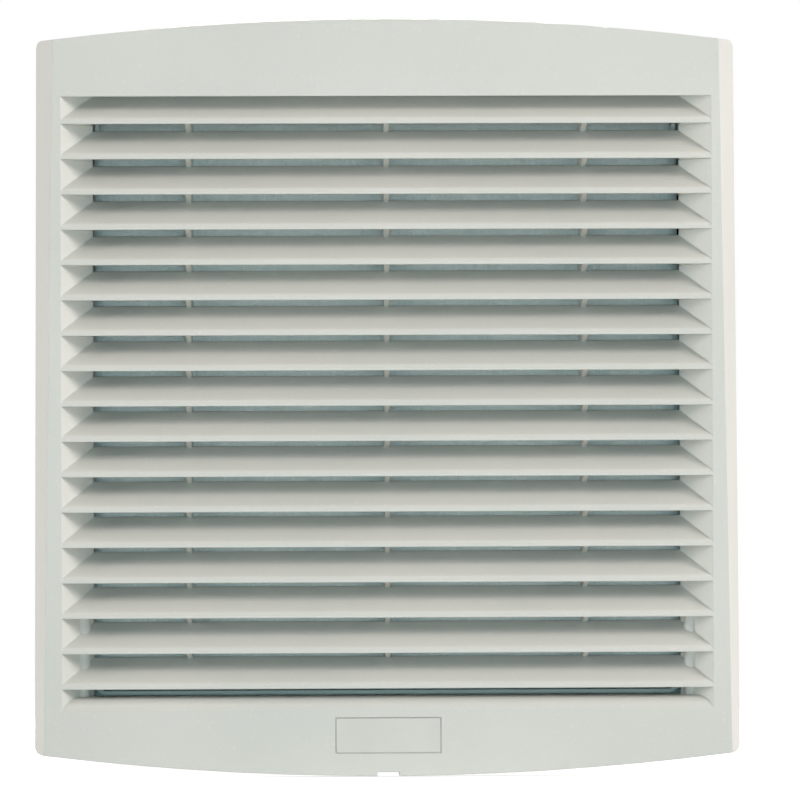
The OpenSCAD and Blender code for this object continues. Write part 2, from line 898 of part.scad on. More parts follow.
module rotor_cup() {
    color(dark_colour) difference() {
        union() {
            difference() {
                rod_y(cup_r, cup_front, cup_rear);
                rod_y(cup_r - cup_wall, cup_front + cup_wall, cup_rear + past);
            }
            rod_y(shaft_d / 2 + boss_wall, cup_front, boss_front);
        }
        rod_y(shaft_d / 2, cup_front - past, boss_front + past);
    }
}

module rotor_cage() {
    color(steel_colour) difference() {
        rod_y(cup_r - cup_wall, core_front - cage_over, core_rear + cage_over);
        rod_y(core_r + air_gap, core_front - cage_over - past, core_rear + cage_over + past);
    }
}

// One section of an impeller blade at radius r: upper side forward, lower side back
function vane_section(r) =
    let (share = (r - hub_r) / (tip_r - hub_r))
    let (pitch = vane_angle_root + (vane_angle_tip - vane_angle_root) * share)
    let (chord = vane_chord_root + (vane_chord_tip - vane_chord_root) * share)
    let (steps = 8)
    let (mid_y = (hub_front + hub_rear) / 2)
    [for (side = [1, -1], k = [0 : steps])
        let (along = (side > 0 ? k : steps - k) / steps)
        let (half_t = max(vane_t / 2 * sqrt(4 * along * (1 - along)), vane_edge))
        let (off = vane_camber * 4 * along * (1 - along) + side * half_t)
        let (run = (along - 0.5) * chord)
        let (arc = run * cos(pitch) - off * sin(pitch))
        let (turn = arc / r * 180 / PI)
        [r * cos(turn), mid_y + run * sin(pitch) + off * cos(pitch), r * sin(turn)]];

// A twisted blade lofted through sections from the hub to the tip
module vane() {
    rows = 5;
    sections = [for (j = [0 : rows]) vane_section(hub_r - hub_sink + (tip_r - hub_r + hub_sink) * j / rows)];
    n = len(sections[0]);
    points = [for (s = sections, p = s) p];
    walls = [for (j = [0 : rows - 1], k = [0 : n - 1])
        let (a = j * n + k, b = j * n + (k + 1) % n)
        each [[a, b + n, b], [a, a + n, b + n]]];
    caps = [for (k = [1 : n - 2]) each [[0, k, k + 1], [rows * n, rows * n + k + 1, rows * n + k]]];
    polyhedron(points, concat(walls, caps));
}

module impeller() {
    color(dark_colour) difference() {
        union() {
            rod_y(hub_r, hub_front, hub_rear);
            for (i = [0 : vane_count - 1])
                rotate([0, i * 360 / vane_count, 0]) vane();
        }
        rod_y(cup_r, hub_front - past, hub_rear + past);
    }
}

// A wire ring about the fan axis
module wire_ring(r, y) {
    translate([0, y, 0]) rotate([-90, 0, 0]) rotate_extrude() translate([r, 0]) circle(wire_r, $fn = 16);
}

module finger_guard() {
    ring_step = (outer_ring - inner_ring) / (guard_rings - 1);
    ring_lift = 1.5 * wire_r;
    color(steel_colour) {
        for (i = [0 : guard_rings - 1])
            wire_ring(inner_ring + i * ring_step, guard_y + ring_lift);
        for (quarter = [0 : 3])
            at_fan_hole(quarter) {
                wire_ring(eye_r, guard_y);
                translate([inner_ring - wire_r - hole_r, guard_y, 0]) rotate([0, 90, 0])
                    cylinder(r = wire_r, h = hole_r - eye_r - inner_ring + wire_r);
            }
    }
}

// Pan-head screw along Y: shank from y0 to the head seat, head towards +Y
module pan_screw(r, y0, seat) {
    color(steel_colour) difference() {
        union() {
            rod_y(r, y0, seat + past / 2);
            rod_y(head_r, seat, seat + head_h);
        }
        for (turn = [0, 90])
            rotate([0, turn, 0]) translate([-cross_l / 2, seat + head_h - cross_d, -cross_w / 2])
                cube([cross_l, cross_d + past, cross_w]);
    }
}

module fan_screw(quarter) {
    at_fan_hole(quarter) pan_screw(tap_r, plate_y + seat_gap, fan_y + fan_flange_t);
}

module guard_screw(quarter) {
    at_fan_hole(quarter)
        pan_screw(screw_r, fan_rear - fan_flange_t - nut_h - past, guard_y + wire_r);
}

module guard_nut(quarter) {
    color(steel_colour) at_fan_hole(quarter) difference() {
        along_y(fan_rear - fan_flange_t - nut_h, fan_rear - fan_flange_t) circle(head_r, $fn = 6);
        rod_y(screw_r, fan_rear - fan_flange_t - nut_h - past, fan_rear);
    }
}

// Place children at one pole of the terminal block
module at_pole(i) {
    translate([block_x + (i - 1) * pole_pitch, 0, block_z]) children();
}

module terminal_block() {
    color(dark_colour) difference() {
        translate([block_x - block_w / 2, fan_y, block_z - block_h / 2]) cube([block_w, block_d, block_h]);
        for (i = [0 : 2])
            at_pole(i) {
                rod_y(pole_screw_r + well_gap, fan_y + block_d - well_d, fan_y + block_d + past);
                translate([-entry / 2, fan_y + entry_y, -block_h / 2 - past])
                    cube([entry, entry, block_h / 2]);
            }
    }
}

module terminal_screw(i) {
    pole_top = fan_y + block_d - pole_screw_sunk;
    color(steel_colour) at_pole(i) difference() {
        rod_y(pole_screw_r, fan_y + block_d - well_d, pole_top);
        translate([-pole_screw_r - past, pole_top - cross_d, -cross_w / 2])
            cube([2 * (pole_screw_r + past), cross_d + past, cross_w]);
    }
}

grille_cover();
filter_mat();
base_frame();
filter_tray();
panel_gasket();
clip_lever(-1, 1);  // clip_lever_left_upper
clip_lever(-1, -1);  // clip_lever_left_lower
clip_lever(1, 1);  // clip_lever_right_upper
clip_lever(1, -1);  // clip_lever_right_lower
clip_pin(-1, 1);  // clip_pin_left_upper
clip_pin(-1, -1);  // clip_pin_left_lower
clip_pin(1, 1);  // clip_pin_right_upper
clip_pin(1, -1);  // clip_pin_right_lower
fan_housing();
stator_core();
stator_windings();
bearing_front();
bearing_rear();
bearing_cap();
motor_shaft();
shaft_clip();
rotor_cup();
rotor_cage();
impeller();
finger_guard();
fan_screw(0);  // fan_screw_1
fan_screw(1);  // fan_screw_2
fan_screw(2);  // fan_screw_3
fan_screw(3);  // fan_screw_4
guard_screw(0);  // guard_screw_1
guard_screw(1);  // guard_screw_2
guard_screw(2);  // guard_screw_3
guard_screw(3);  // guard_screw_4
guard_nut(0);  // guard_nut_1
guard_nut(1);  // guard_nut_2
guard_nut(2);  // guard_nut_3
guard_nut(3);  // guard_nut_4
terminal_block();
terminal_screw(0);  // terminal_screw_1
terminal_screw(1);  // terminal_screw_2
terminal_screw(2);  // terminal_screw_3
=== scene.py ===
import json
import math
import random

import bmesh
import bpy
from mathutils import Matrix, Vector, noise


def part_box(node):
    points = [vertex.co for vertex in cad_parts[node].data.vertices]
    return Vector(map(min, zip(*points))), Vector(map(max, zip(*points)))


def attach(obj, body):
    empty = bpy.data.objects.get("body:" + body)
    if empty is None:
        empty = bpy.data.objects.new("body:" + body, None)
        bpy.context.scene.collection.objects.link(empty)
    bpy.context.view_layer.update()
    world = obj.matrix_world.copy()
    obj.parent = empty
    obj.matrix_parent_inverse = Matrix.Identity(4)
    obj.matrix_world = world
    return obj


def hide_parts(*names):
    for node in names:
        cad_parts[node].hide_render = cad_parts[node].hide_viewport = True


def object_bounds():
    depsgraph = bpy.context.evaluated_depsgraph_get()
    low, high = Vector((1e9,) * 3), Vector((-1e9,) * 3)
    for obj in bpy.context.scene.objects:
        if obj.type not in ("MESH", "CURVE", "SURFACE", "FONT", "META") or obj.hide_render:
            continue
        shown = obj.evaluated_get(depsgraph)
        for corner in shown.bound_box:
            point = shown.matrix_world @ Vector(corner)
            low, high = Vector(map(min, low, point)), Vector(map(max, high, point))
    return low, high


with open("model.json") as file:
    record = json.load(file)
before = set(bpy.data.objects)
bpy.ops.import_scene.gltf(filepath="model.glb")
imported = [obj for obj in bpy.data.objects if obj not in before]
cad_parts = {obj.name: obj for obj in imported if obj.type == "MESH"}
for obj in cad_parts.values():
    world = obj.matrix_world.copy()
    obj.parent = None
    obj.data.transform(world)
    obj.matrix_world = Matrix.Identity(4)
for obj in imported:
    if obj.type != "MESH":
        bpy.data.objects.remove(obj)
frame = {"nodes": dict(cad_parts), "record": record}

cad_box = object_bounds()
cad = frame["nodes"]
scene = bpy.context.scene
scene.view_settings.view_transform = "Standard"

MM = 0.001

# Sizes of the cover that the scene's own pieces follow, in mm
DEPTH_TOP = 31.5
DEPTH_BOTTOM = 16.5
COVER_W = 252.6
COVER_H = 268.0
CROWN = 8.2
RIB_PITCH = 70.5
LEAN = math.atan((DEPTH_TOP - DEPTH_BOTTOM) / COVER_H)
DEPTH_MID = (DEPTH_TOP + DEPTH_BOTTOM) / 2
BADGE_W = 37.5
BADGE_H = 12.7
BADGE_D = 0.4
BADGE_Z = -COVER_H / 2 + 14.1

# The scene's own shapes, in mm
TOP_DRAFT = 5.3          # how far the rear of the cover's top wall rises above its front edge
SWELL = 4.2              # how far the mat swells between the stems
SWELL_REACH = 7.0        # distance over which the swelling builds up
MAT_SPREAD = 2.6         # how far the front of the mat spreads over the rim of the tray
MAT_CELLS = 72           # cells along each side of a face of the mat
FIBRE_COUNT = 4200
FIBRE_SEED = 11
FIBRE_POINTS = 6
PLATE_GAP = 0.3          # gap round the bare plate
PLATE_THICK = 0.34
PLATE_CORNER = 0.7
PLATE_BEVEL = 0.12
IMAGE_PX = 800


def srgb(r, g, b):
    """A linear colour from 0 to 255 screen values."""
    def one(v):
        v /= 255
        return v / 12.92 if v <= 0.04045 else ((v + 0.055) / 1.055) ** 2.4
    return (one(r), one(g), one(b), 1.0)


def clamp(v, low, high):
    return max(low, min(high, v))


def on_front(x, u, w):
    """A point drawn on the leaning front face, in metres."""
    y = -DEPTH_MID + u * math.cos(LEAN) - w * math.sin(LEAN)
    z = u * math.sin(LEAN) + w * math.cos(LEAN)
    return Vector((x, y, z)) * MM


class Mat:
    """A node material under construction."""

    def __init__(self, name):
        self.material = bpy.data.materials.new(name)
        self.material.use_nodes = True
        self.tree = self.material.node_tree
        self.shader = self.tree.nodes["Principled BSDF"]
        self.output = self.tree.nodes["Material Output"]
        self.coords = self.node("ShaderNodeTexCoord").outputs["Object"]

    def node(self, kind, **settings):
        made = self.tree.nodes.new(kind)
        for key, value in settings.items():
            setattr(made, key, value)
        return made

    def link(self, source, target):
        self.tree.links.new(source, target)

    def stretched(self, stretch):
        if stretch is None:
            return self.coords
        mapping = self.node("ShaderNodeMapping")
        mapping.inputs["Scale"].default_value = stretch
        self.link(self.coords, mapping.inputs["Vector"])
        return mapping.outputs["Vector"]

    def noise(self, scale, detail=3.0, roughness=0.5, stretch=None, distortion=0.0):
        made = self.node("ShaderNodeTexNoise")
        made.inputs["Scale"].default_value = scale
        made.inputs["Detail"].default_value = detail
        made.inputs["Roughness"].default_value = roughness
        made.inputs["Distortion"].default_value = distortion
        self.link(self.stretched(stretch), made.inputs["Vector"])
        return made.outputs["Fac"]

    def wave(self, scale, axis, kind="BANDS", distortion=0.0, detail=1.0):
        made = self.node("ShaderNodeTexWave", wave_type=kind)
        if kind == "BANDS":
            made.bands_direction = axis
        else:
            made.rings_direction = axis
        made.inputs["Scale"].default_value = scale
        made.inputs["Distortion"].default_value = distortion
        made.inputs["Detail"].default_value = detail
        self.link(self.coords, made.inputs["Vector"])
        return made.outputs["Fac"]

    def remap(self, value, low, high, to_low, to_high):
        made = self.node("ShaderNodeMapRange")
        made.inputs["From Min"].default_value = low
        made.inputs["From Max"].default_value = high
        made.inputs["To Min"].default_value = to_low
        made.inputs["To Max"].default_value = to_high
        self.link(value, made.inputs["Value"])
        return made.outputs["Result"]

    def blend(self, factor, a, b):
        made = self.node("ShaderNodeMix", data_type="RGBA")
        self.link(factor, made.inputs[0])
        for socket, value in ((made.inputs[6], a), (made.inputs[7], b)):
            if isinstance(value, tuple):
                socket.default_value = value
            else:
                self.link(value, socket)
        return made.outputs[2]

    def maths(self, operation, a, b):
        made = self.node("ShaderNodeMath", operation=operation)
        for socket, value in ((made.inputs[0], a), (made.inputs[1], b)):
            if isinstance(value, (int, float)):
                socket.default_value = value
            else:
                self.link(value, socket)
        return made.outputs[0]

    def soft_edges(self, radius):
        """Normals as if every edge were rounded, and how near an edge a point is."""
        bevel = self.node("ShaderNodeBevel", samples=6)
        bevel.inputs["Radius"].default_value = radius
        geometry = self.node("ShaderNodeNewGeometry")
        dot = self.node("ShaderNodeVectorMath", operation="DOT_PRODUCT")
        self.link(bevel.outputs["Normal"], dot.inputs[0])
        self.link(geometry.outputs["Normal"], dot.inputs[1])
        return bevel.outputs["Normal"], self.remap(dot.outputs["Value"], 1.0, 0.75, 0.0, 1.0)

    def bump(self, height, strength, distance, normal=None):
        made = self.node("ShaderNodeBump")
        made.inputs["Strength"].default_value = strength
        made.inputs["Distance"].default_value = distance
        self.link(height, made.inputs["Height"])
        if normal is not None:
            self.link(normal, made.inputs["Normal"])
        return made.outputs["Normal"]

    def finish(self, colour, rough, normal=None, **constants):
        for value, key in ((colour, "Base Color"), (rough, "Roughness"), (normal, "Normal")):
            if value is not None:
                self.link(value, self.shader.inputs[key])
        for key, value in constants.items():
            self.shader.inputs[key.replace("_", " ")].default_value = value
        return self.material


def moulded(name, tone, shade, fleck_and_highlight, rough, grain_mm, grain, edge_mm, metallic):
    """Moulded plastic: cloudy tone, lighter flecks, eroded grain, softened edges with a painted
    highlight along them.
    """
    m = Mat(name)
    edge_normal, near_edge = m.soft_edges(edge_mm * MM)
    cloud = m.noise(14, 3)
    grain_noise = m.noise(1 / (grain_mm * MM), 2, 0.6)
    fleck = m.noise(0.35 / (grain_mm * MM), 4, 0.65)
    colour = m.blend(m.remap(cloud, 0.35, 0.65, 0, 1), srgb(*tone), srgb(*shade))
    colour = m.blend(m.remap(fleck, 0.58, 0.72, 0, 0.25), colour, srgb(*fleck_and_highlight))
    # Painted highlight: lighter tone near every edge, patchy along it
    edge_highlight = m.maths("MULTIPLY", near_edge, m.remap(cloud, 0.3, 0.7, 0.15, 0.6))
    colour = m.blend(edge_highlight, colour, srgb(*fleck_and_highlight))
    roughness = m.remap(grain_noise, 0.3, 0.7, rough - 0.07, rough + 0.07)
    normal = m.bump(grain_noise, grain, 0.25 * grain_mm * MM, edge_normal)
    return m.finish(colour, roughness, normal, Metallic=metallic)


def brushed(name, tone, shade, rough, stretch, edge_mm):
    """Bare or plated metal with drawn marks along one direction, dull spots and a painted highlight
    along its edges.
    """
    m = Mat(name)
    edge_normal, near_edge = m.soft_edges(edge_mm * MM)
    marks = m.noise(900, 4, 0.7, stretch)
    spots = m.noise(160, 4, 0.6)
    colour = m.blend(m.remap(spots, 0.35, 0.65, 0, 1), srgb(*tone), srgb(*shade))
    # Painted highlight: lighter colour near every edge
    colour = m.blend(m.maths("MULTIPLY", near_edge, 0.5), colour, (0.9, 0.9, 0.9, 1))
    drawn = m.remap(marks, 0.3, 0.7, rough - 0.08, rough + 0.08)
    roughness = m.maths("ADD", drawn, m.remap(spots, 0.4, 0.7, 0, 0.12))
    normal = m.bump(marks, 0.15, 0.02 * MM, edge_normal)
    return m.finish(colour, roughness, normal, Metallic=1.0)


def fleece():
    """Bonded fibre: strands in three directions over a cloudy loft."""
    m = Mat("filter_fleece")
    lies = ((1, 1, 0.12), (0.12, 1, 1), (0.5, 1, 0.5))
    strands = [m.noise(700, 3, 0.6, lie, 1.5) for lie in lies]
    web = m.maths("MAXIMUM", m.maths("MAXIMUM", strands[0], strands[1]), strands[2])
    loft = m.noise(60, 4, 0.6)
    colour = m.blend(m.remap(web, 0.45, 0.75, 0, 1), srgb(224, 230, 227), srgb(252, 253, 252))
    colour = m.blend(m.remap(loft, 0.4, 0.7, 0, 0.5), colour, srgb(226, 231, 228))
    height = m.maths("ADD", web, m.maths("MULTIPLY", loft, 0.8))
    return m.finish(colour, m.remap(web, 0.3, 0.7, 0.85, 1.0), m.bump(height, 0.9, 0.5 * MM))


def fibre():
    """The single strands that lie loose on the mat."""
    m = Mat("filter_fibre")
    tone = m.noise(90, 2)
    colour = m.blend(m.remap(tone, 0.35, 0.65, 0, 1), srgb(222, 230, 227), srgb(252, 253, 252))
    return m.finish(colour, m.remap(tone, 0.3, 0.7, 0.35, 0.6))


def foam():
    """Black cellular foam with a patchy skin."""
    m = Mat("gasket_foam")
    cells = m.node("ShaderNodeTexVoronoi")
    cells.inputs["Scale"].default_value = 1400
    m.link(m.coords, cells.inputs["Vector"])
    pores = cells.outputs["Distance"]
    skin_noise = m.noise(120, 3)
    colour = m.blend(m.remap(pores, 0.1, 0.7, 0, 1), srgb(28, 29, 30), srgb(54, 55, 56))
    colour = m.blend(m.remap(skin_noise, 0.4, 0.7, 0, 0.4), colour, srgb(66, 67, 68))
    return m.finish(colour, m.remap(skin_noise, 0.3, 0.7, 0.8, 0.95), m.bump(pores, 0.6, 0.25 * MM))


def laminations():
    """A stack of steel sheets with a little brown on their edges."""
    m = Mat("lamination_steel")
    sheets = m.wave(314, "Y", distortion=0.6)
    spots = m.noise(220, 4)
    colour = m.blend(m.remap(sheets, 0.2, 0.6, 0, 1), srgb(96, 98, 101), srgb(168, 170, 172))
    colour = m.blend(m.remap(spots, 0.5, 0.75, 0, 0.5), colour, srgb(118, 104, 92))
    roughness = m.remap(spots, 0.3, 0.7, 0.35, 0.6)
    return m.finish(colour, roughness, m.bump(sheets, 0.5, 0.1 * MM), Metallic=1.0)


def enamelled_wire():
    """Turns of varnished copper wire."""
    m = Mat("copper")
    turns = m.wave(420, "X", "RINGS", 2.0, 2.0)
    tone = m.noise(80, 3)
    colour = m.blend(m.remap(turns, 0.2, 0.8, 0, 1), srgb(112, 48, 22), srgb(206, 122, 70))
    colour = m.blend(m.remap(tone, 0.4, 0.7, 0, 0.4), colour, srgb(150, 74, 36))
    roughness = m.remap(tone, 0.3, 0.7, 0.22, 0.4)
    normal = m.bump(turns, 0.8, 0.3 * MM)
    return m.finish(colour, roughness, normal, Metallic=0.85, Coat_Weight=0.5)


def plate_enamel():
    """The bare plate: the tone of the cover, with painted shade along its edge."""
    m = Mat("badge_enamel")
    edge_normal, near_edge = m.soft_edges(0.2 * MM)
    cloud = m.noise(60, 3)
    colour = m.blend(m.remap(cloud, 0.35, 0.65, 0, 1), srgb(213, 213, 207), srgb(209, 210, 204))
    # Painted shade: darker near the edge, standing in for the shade in the gap round the plate
    colour = m.blend(m.maths("MULTIPLY", near_edge, 0.6), colour, srgb(150, 154, 150))
    normal = m.bump(m.noise(2500, 2), 0.05, 0.02 * MM, edge_normal)
    return m.finish(colour, m.remap(cloud, 0.3, 0.7, 0.44, 0.52), normal)


# Slot: tone, shade, tone of the flecks and of the painted edge highlight, roughness, grain in mm, depth
# of grain, edge radius in mm, metallic
MOULDED = {
    "cover_plastic": ((214, 213, 207), (209, 209, 203), (238, 237, 231), 0.41, 0.45, 0.12, 0.5, 0.0),
    "base_plastic": ((206, 209, 203), (200, 204, 198), (220, 222, 216), 0.42, 0.6, 0.08, 0.4, 0.0),
    "clip_plastic": ((40, 41, 43), (32, 33, 35), (84, 85, 88), 0.5, 0.35, 0.2, 0.3, 0.0),
    "housing_black": ((38, 39, 41), (30, 31, 33), (92, 93, 95), 0.55, 0.5, 0.35, 0.5, 0.0),
    "cap_plastic": ((46, 47, 49), (38, 39, 41), (90, 91, 94), 0.4, 0.4, 0.12, 0.3, 0.0),
    "rotor_black": ((44, 45, 47), (34, 35, 37), (104, 105, 107), 0.35, 0.5, 0.15, 0.5, 0.3),
    "impeller_plastic": ((34, 35, 37), (27, 28, 30), (78, 79, 82), 0.33, 0.4, 0.08, 0.4, 0.0),
    "terminal_plastic": ((226, 224, 214), (218, 217, 208), (238, 236, 228), 0.4, 0.4, 0.08, 0.3, 0.0),
}
# Slot: tone, shade, roughness, stretch of the drawn marks, edge radius in mm
BRUSHED = {
    "pin_steel": ((186, 188, 190), (160, 162, 165), 0.28, (1, 1, 0.05), 0.15),
    "bearing_steel": ((204, 206, 208), (176, 178, 181), 0.2, (1, 0.1, 1), 0.15),
    "guard_wire": ((214, 215, 216), (190, 192, 194), 0.16, (0.4, 0.4, 0.4), 0.1),
    "fastener_zinc": ((206, 206, 198), (184, 188, 190), 0.3, (1, 0.2, 1), 0.15),
}
materials = {
    "filter_fleece": fleece(),
    "gasket_foam": foam(),
    "lamination_steel": laminations(),
    "copper": enamelled_wire(),
}
for slot, row in MOULDED.items():
    materials[slot] = moulded(slot, *row)
for slot, row in BRUSHED.items():
    materials[slot] = brushed(slot, *row)

slot_of = {s["node"]: s["material_slot"] for s in frame["record"]["subparts"]}
for name, obj in cad.items():
    obj.data.materials.clear()
    obj.data.materials.append(materials[slot_of[name]])


def new_object(name, mesh, material, body):
    obj = bpy.data.objects.new(name, mesh)
    scene.collection.objects.link(obj)
    obj.data.materials.append(material)
    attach(obj, body)
    return obj


# The cover once more, with the draft of its top wall that the solid leaves out
def cover_skin():
    wall_reach = 3.0         # what lies this near the top outline belongs to the top wall
    corner_reach = 6.0       # the same at the corners, where the outline is rounded
    corner_w = 14            # width of a corner
    full_reach = 2.9         # nearer than this to the outline, the draft is full
    crown_r = ((COVER_W / 2) ** 2 + CROWN ** 2) / (2 * CROWN)
    source = cad["grille_cover"]
    data = source.data.copy()
    data.name = "cover_skin"
    data.transform(source.matrix_world)
    for vertex in data.vertices:
        x, y, z = (v / MM for v in vertex.co)
        edge = COVER_H / 2 - crown_r + math.sqrt(crown_r ** 2 - min(abs(x), COVER_W / 2) ** 2)
        reach = corner_reach if abs(x) > COVER_W / 2 - corner_w else wall_reach
        near = clamp((z - edge + reach) / (reach - full_reach), 0.0, 1.0)
        front = -DEPTH_MID - math.tan(LEAN) * z
        back = clamp((y - front) / DEPTH_TOP, 0.0, 1.0)
        vertex.co.z += near * back * TOP_DRAFT * MM
    return data


skin = new_object("cover_skin", cover_skin(), materials["cover_plastic"], "cover")
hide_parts("grille_cover")


# The mat: a slab of bonded fibre that swells between the stems of the cover, with uneven faces
MAT_LOW, MAT_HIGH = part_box("filter_mat")
MAT_HALF_X = (MAT_HIGH.x - MAT_LOW.x) / 2
MAT_HALF_Z = (MAT_HIGH.z - MAT_LOW.z) / 2


def free_of_ends(z):
    """0 at the upper and lower end of the mat, rising to 1 away from them."""
    return 1 - math.exp(-max(0, MAT_HALF_Z - abs(z)) / (SWELL_REACH * MM))


def mat_front(x, z):
    """The y of the front of the mat, in metres: held back by the stems and the ends."""
    hold = min(abs(x), abs(abs(x) - RIB_PITCH * MM))
    free_of_stems = 1 - math.exp(-hold / (SWELL_REACH * MM))
    return MAT_LOW.y - SWELL * MM * free_of_stems * free_of_ends(z)


def mat_mesh():
    skin_depth = 0.45 * MM   # mean depth of the uneven faces inside the solid
    uneven = 0.32 * MM
    nip_depth = 1.8 * MM     # how far the rim is pressed in where the mat was cut
    nip_power = 40
    spread_power = 30
    rim_pull = 0.5 * MM
    rim_wave = 0.4 * MM
    last = MAT_CELLS
    mesh = bmesh.new()

    def point(face, i, j):
        a = 2 * i / last - 1
        b = 2 * j / last - 1
        rim = max(abs(a), abs(b))
        x = a * MAT_HALF_X
        z = b * MAT_HALF_Z
        rough = noise.fractal(Vector((x * 90, 7.0 * face, z * 90)), 0.7, 2.0, 4)
        inward = skin_depth + uneven * clamp(rough, -1, 1) + nip_depth * rim ** nip_power
        pull = 1
        if rim == 1:
            wave = rim_wave * noise.noise(Vector((x * 60, 3.0, z * 60)))
            pull = 1 - (rim_pull + wave) / MAT_HALF_X
        if face == 1:
            return (x * pull, MAT_HIGH.y - inward, z * pull)
        spread = MAT_SPREAD * MM * abs(a) ** spread_power * free_of_ends(z)
        return (x * pull + math.copysign(spread, x), mat_front(x, z) + inward, z * pull)

    steps = range(last + 1)
    sheets = [[[mesh.verts.new(point(face, i, j)) for j in steps] for i in steps] for face in (0, 1)]
    for face, grid in enumerate(sheets):
        for i in range(last):
            for j in range(last):
                quad = [grid[i][j], grid[i + 1][j], grid[i + 1][j + 1], grid[i][j + 1]]
                mesh.faces.new(quad if face == 0 else quad[::-1])
    front, back = sheets
    rim = [(i, 0) for i in range(last)] + [(last, j) for j in range(last)]
    rim += [(i, last) for i in range(last, 0, -1)] + [(0, j) for j in range(last, 0, -1)]
    for k, (i, j) in enumerate(rim):
        p, q = rim[(k + 1) % len(rim)]
        mesh.faces.new([front[i][j], back[i][j], back[p][q], front[p][q]])
    bmesh.ops.recalc_face_normals(mesh, faces=mesh.faces)
    data = bpy.data.meshes.new("filter_pad")
    mesh.to_mesh(data)
    mesh.free()
    for polygon in data.polygons:
        polygon.use_smooth = True
    return data


mat = new_object("filter_pad", mat_mesh(), materials["filter_fleece"], "filter")
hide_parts("filter_mat")


# Loose fibres that lie on the two faces of the mat
def fibre_mesh():
    start_margin = 6 * MM    # a fibre starts this far inside the edge of the mat
    margin = 2 * MM          # and stays this far inside it
    root_depth = 0.55 * MM   # depth of its two ends in the mat
    arch_extra = 0.2 * MM
    corners = (0, 2.094, 4.189)
    low, high = MAT_LOW, MAT_HIGH
    pick = random.Random(FIBRE_SEED)
    verts, faces = [], []
    for n in range(FIBRE_COUNT):
        in_front = n % 4 != 3
        x = pick.uniform(low.x + start_margin, high.x - start_margin)
        z = pick.uniform(low.z + start_margin, high.z - start_margin)
        heading = pick.uniform(0, 2 * math.pi)
        bend = pick.uniform(-0.5, 0.5)
        step = pick.uniform(1.0, 2.4) * MM
        radius = pick.uniform(0.035, 0.075) * MM
        lift = pick.uniform(0.12, 0.3) * MM
        rings = []
        for k in range(FIBRE_POINTS):
            arch = math.sin(math.pi * k / (FIBRE_POINTS - 1))
            px = clamp(x, low.x + margin, high.x - margin)
            pz = clamp(z, low.z + margin, high.z - margin)
            depth = root_depth - (lift + arch_extra) * arch
            y = mat_front(px, pz) + depth if in_front else high.y - depth
            side = Vector((-math.sin(heading), 0, math.cos(heading)))
            centre = Vector((px, y, pz))
            rings.append(len(verts))
            for turn in corners:
                across = math.cos(turn) * side + math.sin(turn) * Vector((0, 1, 0))
                verts.append(centre + radius * across)
            x += step * math.cos(heading)
            z += step * math.sin(heading)
            heading += bend * 0.5
        for a, b in zip(rings, rings[1:]):
            for t in range(3):
                u = (t + 1) % 3
                faces.append((a + t, a + u, b + u, b + t))
    data = bpy.data.meshes.new("filter_fibres")
    data.from_pydata(verts, [], faces)
    for polygon in data.polygons:
        polygon.use_smooth = True
    return data


new_object("filter_fibres", fibre_mesh(), fibre(), "filter")


# A bare plate in the badge recess
def rounded_plate(name, half_w, half_h, thick, r, bevel):
    """A plate in x and w with rounded corners, its rear at u = 0 and its front edge chamfered."""
    mesh = bmesh.new()

    def loop(inset, u):
        points = []
        for cx, cz, start in ((1, 1, 0), (-1, 1, 90), (-1, -1, 180), (1, -1, 270)):
            for k in range(7):
                a = math.radians(start + 15 * k)
                x = cx * (half_w - r) + (r - inset) * math.cos(a)
                z = cz * (half_h - r) + (r - inset) * math.sin(a)
                points.append(mesh.verts.new((x, u, z)))
        return points

    mid = 0.3 * bevel
    loops = [loop(0, 0), loop(0, -(thick - bevel)), loop(mid, -(thick - mid)), loop(bevel, -thick)]
    for a, b in zip(loops, loops[1:]):
        for k in range(len(a)):
            n = (k + 1) % len(a)
            mesh.faces.new([a[k], a[n], b[n], b[k]])
    mesh.faces.new(loops[0][::-1])
    mesh.faces.new(loops[-1])
    bmesh.ops.recalc_face_normals(mesh, faces=mesh.faces)
    data = bpy.data.meshes.new(name)
    mesh.to_mesh(data)
    mesh.free()
    return data


def place_on_front(data, x, u, w):
    data.transform(Matrix.Scale(MM, 4))
    data.transform(Matrix.Rotation(LEAN, 4, "X"))
    data.transform(Matrix.Translation(on_front(x, u, w)))
    return data


plate_half_w = BADGE_W / 2 - PLATE_GAP
plate_half_h = BADGE_H / 2 - PLATE_GAP
plate = rounded_plate("badge_plate", plate_half_w, plate_half_h, PLATE_THICK, PLATE_CORNER, PLATE_BEVEL)
place_on_front(plate, 0, BADGE_D, BADGE_Z)
new_object("badge_plate", plate, plate_enamel(), "cover")


